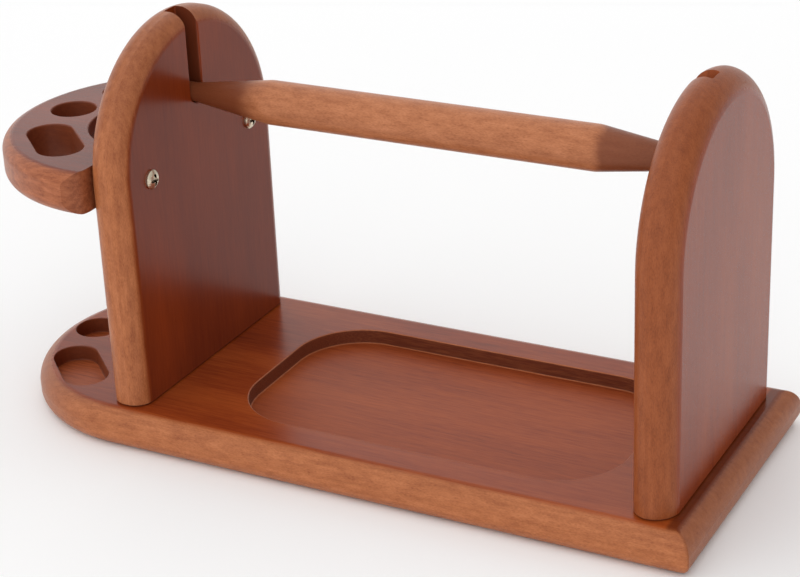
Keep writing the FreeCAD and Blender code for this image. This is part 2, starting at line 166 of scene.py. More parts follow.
class CaddyScrewSizes(bpy.types.PropertyGroup):
    shelf_spacing: length("Shelf spacing", "Distance between the shelf's screws", 0.071)
    shelf_length: length("Shelf screw length", "Length of the shelf's screws", 0.028)
    shelf_shank: length("Shelf screw shank", "Shank diameter of the shelf's screws", 0.0035)
    shelf_head: length("Shelf screw head", "Head diameter of the shelf's screws", 0.0075)
    shelf_head_height: length("Head height", "Height of the pan heads", 0.0024)
    shelf_head_rim: length("Head rim", "Straight side of the pan heads", 0.0008)
    foot_spacing: length("Foot spacing", "Distance between the screws of one upright", 0.06)
    foot_length: length("Foot screw length", "Length of the uprights' screws", 0.038)
    foot_shank: length("Foot screw shank", "Shank diameter of the uprights' screws", 0.004)
    foot_head: length("Foot screw head", "Head diameter of the uprights' screws", 0.008)
    foot_rim: length("Foot screw rim", "Straight side of the countersunk heads", 0.0004)
    foot_sink: length("Foot screw sink", "Depth of the heads below the underside", 0.0006)
    point: length("Point", "Length of the screws' points", 0.005)
    clearance: length("Clearance", "Room between a screw and its hole", 0.0001)
    end_room: length("End room", "Room beyond a screw's point", 0.001)


class CaddyWoodLook(bpy.types.PropertyGroup):
    light: colour("Light", "Stain over the palest wood", (0.34, 0.066, 0.012))
    middle: colour("Middle", "Stain over most of the wood", (0.235, 0.036, 0.0065))
    dark: colour("Dark", "Stain over the darkest streaks", (0.125, 0.017, 0.004))
    # Pore also colours the painted shade beside the right upright's foot
    pore_and_shade: colour("Pore", "Stain gathered in the pores", (0.06, 0.01, 0.004))
    edge: colour("Edge", "Stain on the rounded edges", (0.43, 0.142, 0.052))
    edge_shelf: colour("Shelf edge", "Stain on the shelf's edges", (0.365, 0.11, 0.043))
    edge_right: colour("Right edge", "Stain on the right upright's edges", (0.28, 0.072, 0.021))
    edge_rod: colour("Rod", "Stain on the rod's barrel", (0.455, 0.165, 0.07))
    end: colour("End", "Stain on end grain and on the rod's tapers", (0.17, 0.042, 0.016))
    # Wall also paints shade on the bevel round the uprights' feet
    wall: colour("Wall", "Stain soaked into the cut walls", (0.14, 0.032, 0.014))
    # Milled also paints light on the walls of the right upright's groove
    milled: colour("Milled", "Stain on the milled floors", (0.46, 0.115, 0.036))
    shade_base: shift("Base shade", "How much paler the base is", 0.12)
    shade_left: shift("Left shade", "How much paler the left upright is", -0.12)
    shade_shelf: shift("Shelf shade", "How much paler the shelf is", -0.22)
    index: number("Index", "Refractive index of the satin finish", 1.31, least=1)
    gloss: share("Gloss", "Roughness of the smooth faces", 0.24)
    matt: share("Matt", "Added roughness of the cut floors and walls", 0.2)


class CaddyMetalLook(bpy.types.PropertyGroup):
    brass: colour("Brass", "Yellow plating of the shelf's screws", (0.74, 0.65, 0.5))
    zinc: colour("Zinc", "Grey plating of the uprights' screws", (0.55, 0.54, 0.52))
    # Dark fill colours the random smears, and covers the walls of the cross recesses in full
    dark_fill: colour("Soot", "Dirt in the recesses of the heads", (0.08, 0.06, 0.04))
    roughness: share("Roughness", "Roughness of the screw heads", 0.3)


class CaddyStageLook(bpy.types.PropertyGroup):
    floor: colour("Floor", "Colour of the floor", (0.96, 0.96, 0.96))
    room: number("Room", "Strength of the white light from all round", 1.2)
    dim: number("Dim", "How much weaker the light is on its dim side", 0.65)


class Wire:
    """An output of a node tree. An operator between wires and numbers adds a Math node."""

    def __init__(self, nodes, socket):
        self.nodes = nodes
        self.socket = socket

    def maths(self, operation, *values):
        return self.nodes.add("ShaderNodeMath", {"operation": operation}, dict(enumerate(values)))

    def __add__(self, other):
        return self.maths("ADD", self, other)

    def __radd__(self, other):
        return self.maths("ADD", other, self)

    def __sub__(self, other):
        return self.maths("SUBTRACT", self, other)

    def __rsub__(self, other):
        return self.maths("SUBTRACT", other, self)

    def __mul__(self, other):
        return self.maths("MULTIPLY", self, other)

    def __rmul__(self, other):
        return self.maths("MULTIPLY", other, self)

    def __truediv__(self, other):
        return self.maths("DIVIDE", self, other)

    def __rtruediv__(self, other):
        return self.maths("DIVIDE", other, self)

    def __abs__(self):
        return self.maths("ABSOLUTE", self)

    def __neg__(self):
        return self.maths("MULTIPLY", self, -1)


class Nodes:
    """A shader or geometry node tree under construction."""

    def __init__(self, tree):
        self.tree = tree

    def add(self, kind, settings=None, sockets=None, output=0):
        """Adds a node, sets it up, fills or links its inputs and returns one of its outputs."""
        node = self.tree.nodes.new(kind)
        for name, value in (settings or {}).items():
            if name == "stops":
                set_stops(node.color_ramp, value)
            else:
                setattr(node, name, value)
        for key, value in (sockets or {}).items():
            if isinstance(value, Wire):
                self.tree.links.new(value.socket, node.inputs[key])
            else:
                node.inputs[key].default_value = value
        return Wire(self, node.outputs[output]) if node.outputs else None

    def stretch(self, vector, scale):
        return self.add("ShaderNodeVectorMath", {"operation": "MULTIPLY"}, {0: vector, 1: scale})

    def noise(self, vector, scale, detail):
        sockets = {"Vector": self.stretch(vector, scale), "Scale": 1.0, "Detail": detail}
        return self.add("ShaderNodeTexNoise", None, sockets)

    def step(self, value, low, high):
        sockets = {"Value": value, "From Min": low, "From Max": high}
        return self.add("ShaderNodeMapRange", {"interpolation_type": "SMOOTHSTEP"}, sockets)

    def surface(self):
        """What was marked on a piece: its rounded edges, its cut walls and its end grain."""
        marks = self.add("ShaderNodeAttribute", {"attribute_name": "surface"}, None, "Vector")
        return [self.add("ShaderNodeSeparateXYZ", None, {0: marks}, axis) for axis in range(3)]

    def blend(self, factor, first, second):
        return self.add("ShaderNodeMix", {"data_type": "RGBA"}, {0: factor, 6: first, 7: second}, 2)


def set_stops(ramp, stops):
    while len(ramp.elements) < len(stops):
        ramp.elements.new(1)
    for element, (place, shade) in zip(ramp.elements, stops):
        element.position = place
        element.color = shade


def rgba(value):
    return (*value, 1.0)


def tinted(value, tint):
    return rgba([part * change for part, change in zip(value, tint)])


def new_material(name):
    material = bpy.data.materials.new(name)
    material.use_nodes = True
    material.node_tree.nodes.clear()
    return material, Nodes(material.node_tree)


def close_material(nodes, settings):
    surface = nodes.add("ShaderNodeBsdfPrincipled", None, settings)
    nodes.add("ShaderNodeOutputMaterial", None, {"Surface": surface})


ALONG_X = (0, 0, 0)
ALONG_Z = (0, math.pi / 2, 0)

# Scale of each pattern in the wood, along the grain and across it, and its detail
BROAD = (9, 45, 45), 2
STREAK = (35, 650, 650), 3
FIBRE = (130, 1900, 1900), 2
MOTTLE = (140, 420, 420), 3
SPECK = (900, 2800, 2800), 2

# Where a pattern or a mark starts to count, and where it counts in full
PORES = 0.6, 0.76
SIDES = 0.9, 0.97
ROUNDS = 0, 0.12
ENDS = 0, 0.8
MILLING = 0, 0.3
# How wide the soft edge of the painted shade on the base is
SHADE_EDGE = 0.002

# The stain of the flats, from dark to light, and how wear changes that of the rounds
TONES = 0.2, 0.5, 0.82
WEAR_TINTS = [(0.1, (0.6, 0.48, 0.42)), (0.5, (1, 1, 1)), (0.9, (1.35, 1.5, 1.7))]
WEAR = 0.47
WEAR_MOTTLE = 0.65
WEAR_SPECK = 0.6

# How far each layer, the painted shade among them, covers the one below it. Rounds show fewer
# pores.
SHADE_COVER = 0.65
MILLED_COVER, MILLED_GRAIN = 0.6, 1.2
PORE_COVER, PORE_LOSS = 0.25, 0.12
WALL_COVER, WALL_GRAIN = 0.9, 0.9

# How far each pattern lifts or sinks the surface, and how it changes the gloss
STREAK_HEIGHT = 0.35
FIBRE_HEIGHT = 0.5
PORE_DEPTH, MILLED_PORE_DEPTH = 0.4, 0.8
SPECK_HEIGHT = 4
WOOD_RELIEF = {"Strength": 0.3, "Distance": 0.0001}
ROUND_ROUGHNESS = 0.5
STREAK_ROUGHNESS = 0.1


def stained_wood(
    name, look, turn, place, edge_stain, *, ends,
    paler=0.0, saw=0.45, figure=0.25, round_shade=0.03, fade=0.0, shaded_from=1.0,
):
    """Stained wood whose grain runs along X before it is turned, cut from a place in the log.

    On the flats, paler lifts the tone, figure strengthens the grain and fade lightens along X. On
    the rounds, saw strengthens the streaks, round_shade paints shade on all but the sides (on the
    sides where it is negative), and ends darkens the end grain. Past shaded_from on X the wood gets
    painted shade.
    """
    material, nodes = new_material(name)
    point = nodes.add("ShaderNodeTexCoord", output="Object")
    sockets = {"Vector": point, "Location": place, "Rotation": turn}
    grain = nodes.add("ShaderNodeMapping", None, sockets)
    edge, wall, end = nodes.surface()
    matt = nodes.add("ShaderNodeAttribute", {"attribute_name": "matt"}, None, "Fac")
    patterns = (BROAD, STREAK, FIBRE, MOTTLE, SPECK)
    broad, streak, fibre, mottle, speck = [nodes.noise(grain, *pattern) for pattern in patterns]
    pores = nodes.step(speck, *PORES)
    rounded = nodes.step(edge, *ROUNDS)

    along = nodes.add("ShaderNodeSeparateXYZ", None, {0: point})
    tone = 0.5 + paler + along * fade + (broad * 2 + streak + fibre - 2) * figure
    stops = list(zip(TONES, (rgba(stain) for stain in (look.dark, look.middle, look.light))))
    stain = nodes.add("ShaderNodeValToRGB", {"stops": stops}, {"Fac": tone})
    # Painted shade: past one x the wood darkens towards the pore colour, standing in for the shade
    # beside the right upright's foot
    painted_shade = nodes.step(along, shaded_from - SHADE_EDGE, shaded_from) * SHADE_COVER
    stain = nodes.blend(painted_shade, stain, rgba(look.pore_and_shade))

    # Painted shade: round_shade darkens the rounds against the flat sides, and darkens the sides
    # where it is negative
    wear = WEAR - round_shade + nodes.step(edge, *SIDES) * round_shade
    wear = wear + (mottle - 0.5) * WEAR_MOTTLE + (streak - 0.5) * saw - (speck - 0.5) * WEAR_SPECK
    stops = [(level, tinted(edge_stain, tint)) for level, tint in WEAR_TINTS]
    worn = nodes.add("ShaderNodeValToRGB", {"stops": stops}, {"Fac": wear})
    stain = nodes.blend(rounded, stain, worn)
    stain = nodes.blend(nodes.step(end, *ENDS) * rounded * ends, stain, rgba(look.end))

    # In the right upright's groove this pale layer is painted light
    milled = matt * (MILLED_COVER + (streak + fibre - 1) * MILLED_GRAIN)
    stain = nodes.blend(milled, stain, rgba(look.milled))
    pitted = pores * (PORE_COVER - rounded * PORE_LOSS)
    stain = nodes.blend(pitted, stain, rgba(look.pore_and_shade))
    # On the foot's bevel this dark layer is painted shade
    darkened_walls = wall * (WALL_COVER + (fibre - 0.5) * WALL_GRAIN)
    stain = nodes.blend(darkened_walls.maths("MINIMUM", darkened_walls, 1), stain, rgba(look.wall))

    height = (streak - 0.5) * STREAK_HEIGHT + (fibre - 0.5) * FIBRE_HEIGHT
    height = height - pores * (PORE_DEPTH + matt * MILLED_PORE_DEPTH)
    height = height + (speck - 0.5) * rounded * SPECK_HEIGHT
    relief = nodes.add("ShaderNodeBump", None, {**WOOD_RELIEF, "Height": height})
    rough = matt.maths("MAXIMUM", nodes.step(matt, *MILLING), rounded * ROUND_ROUGHNESS)
    close_material(nodes, {
        "Base Color": stain,
        "Roughness": look.gloss + rough * look.matt + (streak - 0.5) * STREAK_ROUGHNESS,
        "IOR": look.index,
        "Normal": relief,
    })
    return material


# Scale and detail of the smears and scratches on the screws, and what they do
SMEAR = (700, 700, 700), 3
SCRATCH = (4000, 900, 4000), 2
DIRT = 0.52, 0.75
DIRT_COVER = 0.35
SMEAR_ROUGHNESS = 0.3
METAL_RELIEF = {"Strength": 0.2, "Distance": 0.00004}


def plated_metal(name, look, tint):
    """Plated screw metal, dull with handling and dark in its recesses."""
    material, nodes = new_material(name)
    place = nodes.add("ShaderNodeTexCoord", output="Object")
    wall = nodes.surface()[1]
    smear = nodes.noise(place, *SMEAR)
    scratch = nodes.noise(place, *SCRATCH)
    dirt = nodes.step(smear, *DIRT) * DIRT_COVER
    bright = nodes.blend(dirt, rgba(tint), rgba(look.dark_fill))
    close_material(nodes, {
        # The walls of the cross recesses take the dark fill in full
        "Base Color": nodes.blend(wall, bright, rgba(look.dark_fill)),
        "Metallic": 1.0,
        "Roughness": look.roughness + (smear - 0.5) * SMEAR_ROUGHNESS,
        "Normal": nodes.add("ShaderNodeBump", None, {**METAL_RELIEF, "Height": scratch}),
    })
    return material


def tag(name):
    """A stand-in material that tells cut faces from the rest until a piece is handed over."""
    return bpy.data.materials.get(name) or bpy.data.materials.new(name)


def shell(name, rings):
    """A closed shell through rings of points, with its first and last ring filled in."""
    form = bmesh.new()
    rows = [[form.verts.new(point) for point in ring] for ring in rings]
    for low, high in zip(rows, rows[1:]):
        for i in range(len(low)):
            form.faces.new((low[i - 1], low[i], high[i], high[i - 1]))
    form.faces.new(rows[0])
    form.faces.new(rows[-1])
    bmesh.ops.recalc_face_normals(form, faces=form.faces)
    mesh = bpy.data.meshes.new(name)
    form.to_mesh(mesh)
    form.free()
    mesh.materials.append(tag(name))
    piece = bpy.data.objects.new(name, mesh)
    bpy.context.scene.collection.objects.link(piece)
    return piece


def level_shell(name, loop, profile):
    """A closed shell through level rings, from their growth and height."""
    return shell(name, [[(x, y, z) for x, y in loop(growth)] for growth, z in profile])


def settle(piece):
    """Turns a piece and its modifiers into a plain mesh."""
    graph = bpy.context.evaluated_depsgraph_get()
    shape = piece.evaluated_get(graph)
    mesh = bpy.data.meshes.new_from_object(shape, preserve_all_data_layers=True, depsgraph=graph)
    piece.modifiers.clear()
    old = piece.data
    piece.data = mesh
    bpy.data.meshes.remove(old)


def carve(board, cutters):
    """Takes the cutters out of a board. Cut faces keep their cutter's material."""
    for cutter in cutters:
        cut = board.modifiers.new("Cut", "BOOLEAN")
        cut.operation = "DIFFERENCE"
        cut.solver = "EXACT"
        cut.material_mode = "TRANSFER"
        cut.object = cutter
    settle(board)
    for cutter in cutters:
        bpy.data.objects.remove(cutter)


def shade(piece):
    """Smooth shading that leaves flat faces flat and crisp edges crisp."""
    piece.data.shade_smooth()
    piece.data.set_sharp_from_angle(angle=SHARP)
    normals = piece.modifiers.new("Normals", "WEIGHTED_NORMAL")
    normals.keep_sharp = True
    settle(piece)


# How much each cut's walls darken, and how far it shows pale, rough milling. The walls of the tray,
# the holes, the left groove and the sawn ends have soaked up stain, and the crosses in the screw
# heads are dark. The bevel round the uprights' feet darkens with painted shade, and the right
# groove's pale walls are painted light.
WALL_DARKENING = {
    "tray": 1.0, "hole": 0.85, "groove": 1.0, "notch": 0.15, "saw": 0.3, "cross": 1.0, "seam": 1.2
}
MILLED_AND_LIT = {"tray": 0.35, "hole": 1.0, "notch": 0.9}
UNWORN = ("hole", "groove")

# A cut face is a wall if it follows the flats by less than this share, and the foot's bevel,
# painted with shade, always
WALL_LIMITS = {"hole": 0.99, "seam": math.inf}
USUAL_LIMIT = 0.5

# Stain in the far end grain, as a share of the near one's
FAR_END = 0.75


def mark(piece, flat, grain):
    """Notes how far a piece turns from its flats, its cut walls, its end grain and its milling.

    The grain points at the end that has soaked up the most stain.
    """
    mesh = piece.data
    mesh.attributes.new("surface", "FLOAT_VECTOR", "CORNER")
    mesh.attributes.new("matt", "FLOAT", "CORNER")
    surface, matt = mesh.attributes["surface"], mesh.attributes["matt"]
    for face in mesh.polygons:
        cut = mesh.materials[face.material_index].name
        steep = abs(face.normal.dot(flat)) < WALL_LIMITS.get(cut, USUAL_LIMIT)
        wall = WALL_DARKENING.get(cut, 0) if steep else 0
        for corner in face.loop_indices:
            normal = mesh.corner_normals[corner].vector
            out = (normal - flat * normal.dot(flat)).normalized()
            edge = 0 if cut in UNWORN else 1 - abs(normal.dot(flat))
            end = max(out.dot(grain), -FAR_END * out.dot(grain))
            surface.data[corner].vector = (edge, wall, end)
            matt.data[corner].value = MILLED_AND_LIT.get(cut, 0)


def hand_over(piece, body, slot, material, *nodes):
    """Gives a finished piece its material and its body, and hides the nodes it stands for. Its slot
    is not used.
    """
    piece.data.polygons.foreach_set("material_index", [0] * len(piece.data.polygons))
    piece.data.materials.clear()
    piece.data.materials.append(material)
    piece.data.name = piece.name
    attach(piece, body)
    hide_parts(*nodes)


def arc(x, y, radius, first, last, steps):
    turns = [first + (last - first) * i / steps for i in range(steps + 1)]
    return [(x + radius * math.cos(turn), y + radius * math.sin(turn)) for turn in turns]


def quarter_round(radius, ridge):
    """Inset and rise of a round edge, from a board's flat to its side, with a ridge at each."""
    first, last = ridge, math.pi / 2 - ridge
    turns = [first + (last - first) * i / ROUND_STEPS for i in range(ROUND_STEPS + 1)]
    size = radius / (math.cos(ridge) - math.sin(ridge))
    full = math.cos(ridge)
    return [(size * (full - math.sin(turn)), size * (full - math.cos(turn))) for turn in turns]


def board_profile(low, high, low_round, high_round, ridge):
    """Inset and level of each ring of a board with rounded edges."""
    lower = [(inset, low + rise) for inset, rise in quarter_round(low_round, ridge)]
    upper = [(inset, high - rise) for inset, rise in quarter_round(high_round, ridge)]
    return lower + upper[::-1]


def mouth(rim):
    """Growth and depth of a softened rim, from clear of the wood down to the wall."""
    softened = [(rim * (1 - math.cos(turn)), rim * (1 - math.sin(turn))) for turn in MOUTH_TURNS]
    growth, depth = softened[0]
    outside = (growth + (depth + CLEAR) * math.tan(MOUTH_TURNS[0]), -CLEAR)
    return [outside] + softened


def pocket_profile(depth, rim, floor_round):
    turns = [math.pi / 2 * i / FLOOR_STEPS for i in range(FLOOR_STEPS + 1)]
    floor = [
        (floor_round * (math.cos(turn) - 1), depth - floor_round * (1 - math.sin(turn)))
        for turn in turns
    ]
    return mouth(rim) + floor


def bore_profile(depth, rim):
    far = [(growth, depth - level) for growth, level in mouth(rim)]
    return mouth(rim) + far[::-1]


def circle(x, y, radius):
    def loop(growth):
        return arc(x, y, radius + growth, 0, 2 * math.pi, HOLE_STEPS)[:-1]

    return loop


def tool_slot(sizes, side, middle):
    """Outline of a tool slot, with half-round ends."""
    end = (sizes.slot_length - sizes.slot_width) / 2
    turn = math.pi + side * sizes.slot_angle
    cos, sin = math.cos(turn), math.sin(turn)

    def loop(growth):
        radius = sizes.slot_width / 2 + growth
        points = arc(sizes.pitch_radius, end, radius, 0, math.pi, CORNER_STEPS * 2)
        points += arc(sizes.pitch_radius, -end, radius, math.pi, 2 * math.pi, CORNER_STEPS * 2)
        return [(middle + x * cos - y * sin, x * sin + y * cos) for x, y in points]

    return loop


def tool_hole_loops(sizes, middle):
    """The round hole and the two slots, seen from above, about a middle on X."""
    yield circle(middle - sizes.pitch_radius, 0, sizes.hole_diameter / 2)
    yield tool_slot(sizes, 1, middle)
    yield tool_slot(sizes, -1, middle)


def cutter_down(loop, profile, top, name="hole"):
    return level_shell(name, loop, [(growth, top - depth) for growth, depth in profile])


def cutter_up(loop, profile, bottom):
    return level_shell("hole", loop, [(growth, bottom + depth) for growth, depth in profile])


def cutter_out(loop, profile, face, side):
    """A cutter from the inner face of an upright into the wood; side is its direction along X.

    The cut in the right upright is painted paler on its walls, painted light where its depth would
    shade it, so it goes by a name of its own.
    """
    rings = [[(face + side * depth, y, z) for y, z in loop(growth)] for growth, depth in profile]
    return shell("groove" if side < 0 else "notch", rings)


def hidden_bore(depth):
    """A bore with plain edges, for holes that a screw or another board covers."""
    return [(0, -CLEAR), (0, depth)]


def foot_screw_loops(screws, low, high):
    """Holes for the two screws in the foot of one upright, seen from above."""
    for y in (-screws.foot_spacing / 2, screws.foot_spacing / 2):
        yield circle((low.x + high.x) / 2, y, screws.foot_shank / 2 + screws.clearance)


def shelf_screw_loops(screws):
    """Holes for the two screws of the shelf, seen along X."""
    for y in (-screws.shelf_spacing / 2, screws.shelf_spacing / 2):
        yield circle(y, SHELF_MIDDLE, screws.shelf_shank / 2 + screws.clearance)


class CADDY_OT_base_board(bpy.types.Operator):
    """Builds the base board with its tray, its tool recesses and its screw holes"""

    bl_idname = "caddy.base_board"
    bl_label = "Base Board"

    def execute(self, context):
        sizes = context.scene.caddy_base
        screws = context.scene.caddy_screws
        middle = BASE_LOW.x + (BASE_HIGH.y - BASE_LOW.y) / 2

        def outline(inset):
            half = (BASE_HIGH.y - BASE_LOW.y) / 2 - inset
            right = BASE_HIGH.x - inset
            corner = sizes.corner
            nose = arc(middle, 0, half, math.pi / 2, 3 * math.pi / 2, ARC_STEPS)
            front = arc(right - corner, corner - half, corner, -math.pi / 2, 0, FLOOR_STEPS)
            back = [(x, -y) for x, y in reversed(front)]
            return nose + front + back

        profile = board_profile(
            BASE_LOW.z, BASE_HIGH.z, sizes.foot_round, sizes.top_round, sizes.ridge
        )
        board = level_shell("base_board_wood", outline, profile)

        def tray(growth):
            half = sizes.tray_width / 2 + growth
            left, right = -sizes.tray_start - growth, sizes.tray_end + growth
            radius = sizes.tray_corner + growth
            points = []
            for turn, x, y in (
                (0, right - radius, half - radius),
                (1, left + radius, half - radius),
                (2, left + radius, radius - half),
                (3, right - radius, radius - half),
            ):
                start = turn * math.pi / 2
                points += arc(x, y, radius, start, start + math.pi / 2, CORNER_STEPS)
            return points

        hollow = pocket_profile(sizes.tray_depth, sizes.rim, sizes.tray_floor_round)
        cutters = [cutter_down(tray, hollow, BASE_HIGH.z, "tray")]
        recess = pocket_profile(sizes.recess_depth, sizes.rim, sizes.rim)
        for loop in tool_hole_loops(context.scene.caddy_shelf, LEFT_LOW.x):
            cutters.append(cutter_down(loop, recess, BASE_HIGH.z))

        sunk = screws.foot_sink + screws.foot_rim + screws.clearance
        flare = (screws.foot_head - screws.foot_shank) / 2
        countersink = [
            (flare + sunk + CLEAR, -CLEAR),
            (0, flare + sunk),
            (0, BASE_HIGH.z - BASE_LOW.z + CLEAR),
        ]
        for low, high in ((LEFT_LOW, LEFT_HIGH), (RIGHT_LOW, RIGHT_HIGH)):
            for loop in foot_screw_loops(screws, low, high):
                cutters.append(cutter_up(loop, countersink, BASE_LOW.z))
        carve(board, cutters)
        shade(board)
        mark(board, UP, -ACROSS)
        look = context.scene.caddy_wood
        # Past the right upright's outer face the base gets painted shade
        wood = stained_wood(
            "base_wood", look, ALONG_X, (0.3, 0.11, 0.4), look.edge,
            paler=look.shade_base, ends=0.44, figure=0.42, fade=0.6, shaded_from=RIGHT_HIGH.x,
        )
        hand_over(board, "caddy", "stained_wood", wood, "base_board")
        return {"FINISHED"}


# A face that points down this far is the foot, and this many facets soften its edges
DOWNWARD = -0.9
FOOT_STEPS = 2


def bevel_foot(board, level, size):
    """Softens the edges round the flat foot of a board; the bevel's faces take painted shade."""
    form = bmesh.new()
    form.from_mesh(board.data)
    edges = []
    for edge in form.edges:
        lies_on_foot = edge.verts[0].co.z == edge.verts[1].co.z == level
        downward = [face.normal.z < DOWNWARD for face in edge.link_faces]
        if lies_on_foot and any(downward) and not all(downward):
            edges.append(edge)
    # The bevel's faces take the wall colour: painted shade along the foot
    seam = len(board.data.materials)
    board.data.materials.append(tag("seam"))
    bmesh.ops.bevel(
        form, geom=edges, offset=size, segments=FOOT_STEPS, affect="EDGES", material=seam
    )
    form.to_mesh(board.data)
    form.free()


class CADDY_OT_uprights(bpy.types.Operator):
    """Builds the two arched uprights with the grooves that the rod drops into"""

    bl_idname = "caddy.uprights"
    bl_label = "Uprights"

    def execute(self, context):
        look = context.scene.caddy_wood
        left_wood = stained_wood(
            "left_upright_wood", look, ALONG_Z, (1.3, 0.61, 0.2), look.edge,
            paler=look.shade_left, ends=0.33, figure=0.18, round_shade=0.07,
        )
        right_wood = stained_wood(
            "right_upright_wood", look, ALONG_Z, (2.1, 0.27, 0.7), look.edge_right,
            ends=0.15, saw=0.28, round_shade=-0.05,
        )
        left = self.upright(context, "left_upright_wood", LEFT_LOW, LEFT_HIGH, LEFT_HIGH.x, -1)
        right = self.upright(context, "right_upright_wood", RIGHT_LOW, RIGHT_HIGH, RIGHT_LOW.x, 1)
        hand_over(left, "caddy", "stained_wood", left_wood, "left_upright")
        hand_over(right, "caddy", "stained_wood", right_wood, "right_upright")
        return {"FINISHED"}

    def upright(self, context, name, low, high, face, side):
        """One arched board, with its groove cut from its inner face outwards along X."""
        sizes = context.scene.caddy_uprights
        screws = context.scene.caddy_screws

        def arch(inset):
            half = (high.y - low.y) / 2
            top = arc(0, high.z - half, half - inset, 0, math.pi, ARC_STEPS)
            return [(inset - half, low.z), (half - inset, low.z)] + top

        outer_round = sizes.edge_round if side < 0 else sizes.right_round
        profile = board_profile(low.x, high.x, sizes.edge_round, outer_round, sizes.ridge)
        rings = [[(x, y, z) for y, z in arch(inset)] for inset, x in profile]
        board = shell(name, rings)
        bevel_foot(board, low.z, sizes.foot_bevel)

        def groove(growth):
            radius = sizes.groove_width / 2 + growth
            seat = arc(0, ROD_AXIS, radius, math.pi, 2 * math.pi, CORNER_STEPS)
            return seat + [(radius, high.z + radius), (-radius, high.z + radius)]

        hollow = pocket_profile(sizes.groove_depth, sizes.rim, sizes.rim)
        cutters = [cutter_out(groove, hollow, face, side)]
        reach = screws.foot_sink + screws.foot_length + screws.end_room - (low.z - BASE_LOW.z)
        for loop in foot_screw_loops(screws, low, high):
            cutters.append(cutter_up(loop, hidden_bore(reach), low.z))
        if side < 0:
            through = hidden_bore(high.x - low.x + CLEAR)
            for loop in shelf_screw_loops(screws):
                cutters.append(cutter_out(loop, through, face, side))
        carve(board, cutters)
        shade(board)
        mark(board, ACROSS, UP)
        return board


class CADDY_OT_tool_shelf(bpy.types.Operator):
    """Builds the half-round shelf with its tool holes and its back bay"""

    bl_idname = "caddy.tool_shelf"
    bl_label = "Tool Shelf"

    def execute(self, context):
        sizes = context.scene.caddy_shelf
        screws = context.scene.caddy_screws
        back = LEFT_LOW.x
        middle = SHELF_LOW.x + sizes.radius

        def disc(inset):
            return arc(middle, 0, sizes.radius - inset, 0, 2 * math.pi, 2 * ARC_STEPS)[:-1]

        profile = board_profile(
            SHELF_LOW.z, SHELF_HIGH.z, sizes.edge_round, sizes.edge_round, sizes.ridge
        )
        board = level_shell("tool_shelf_wood", disc, profile)

        thick = SHELF_HIGH.z - SHELF_LOW.z
        sawn = hidden_bore(thick + CLEAR)
        bore = bore_profile(thick, sizes.rim)
        bay = circle(back, 0, sizes.bay_radius)
        cutters = [cutter_down(loop, bore, SHELF_HIGH.z) for loop in tool_hole_loops(sizes, back)]
        cutters.append(cutter_down(bay, bore, SHELF_HIGH.z))

        def behind(growth):
            past = 2 * sizes.radius
            return [(back, -past), (back + past, -past), (back + past, past), (back, past)]

        for loop in (behind, self.corner(sizes, -1), self.corner(sizes, 1)):
            cutters.append(cutter_down(loop, sawn, SHELF_HIGH.z, "saw"))
        reach = screws.shelf_length - (LEFT_HIGH.x - LEFT_LOW.x) + screws.end_room
        for loop in shelf_screw_loops(screws):
            cutters.append(cutter_out(loop, hidden_bore(reach), back, -1))
        carve(board, cutters)
        shade(board)
        mark(board, UP, -ACROSS)
        look = context.scene.caddy_wood
        wood = stained_wood(
            "shelf_wood", look, ALONG_X, (0.9, 1.3, 0.5), look.edge_shelf,
            paler=look.shade_shelf, ends=0.2, saw=1.3,
        )
        hand_over(board, "caddy", "stained_wood", wood, "tool_shelf")
        return {"FINISHED"}

    def corner(self, sizes, side):
        """What is taken off beside a quarter round where the nose meets the back."""
        back, past = LEFT_LOW.x, 2 * sizes.radius
        setback = back - (SHELF_LOW.x + sizes.radius)
        x = back - sizes.corner
        y = math.sqrt(sizes.radius ** 2 - setback ** 2) - sizes.corner

        def loop(growth):
            bend = arc(x, y, sizes.corner, 0, math.pi / 2, CORNER_STEPS)
            points = bend + [(x, past), (back + past, past), (back + past, y)]
            return [(a, side * b) for a, b in points]

        return loop


def new_tree(name, inputs):
    """A geometry tree: its nodes, and for each named input a wire and an identifier."""
    tree = bpy.data.node_groups.new(name, "GeometryNodeTree")
    marks = {}
    for label, kind in inputs.items():
        socket = tree.interface.new_socket(label, in_out="INPUT", socket_type=kind)
        marks[label] = socket.identifier
    tree.interface.new_socket("Geometry", in_out="OUTPUT", socket_type="NodeSocketGeometry")
    nodes = Nodes(tree)
    source = tree.nodes.new("NodeGroupInput")
    wires = {label: Wire(nodes, source.outputs[label]) for label in inputs}
    return nodes, wires, marks


def close_tree(nodes, geometry, material):
    """Ends a tree in plain geometry with its material."""
    plain = nodes.add("GeometryNodeRealizeInstances", None, {"Geometry": geometry})
    sockets = {"Geometry": plain, "Material": material}
    painted = nodes.add("GeometryNodeSetMaterial", None, sockets)
    nodes.add("NodeGroupOutput", None, {"Geometry": painted})


def grown_piece(name, nodes, marks, values):
    """A piece made by a tree, as a plain mesh."""
    piece = bpy.data.objects.new(name, bpy.data.meshes.new(name))
    bpy.context.scene.collection.objects.link(piece)
    change = piece.modifiers.new("Grow", "NODES")
    change.node_group = nodes.tree
    for label, value in values.items():
        change[marks[label]] = value
    settle(piece)
    if not piece.data.polygons:
        raise RuntimeError(f"{name} came out empty")
    return piece


# Wanderings of the stain's edge per metre
STAIN_GRAIN = 300


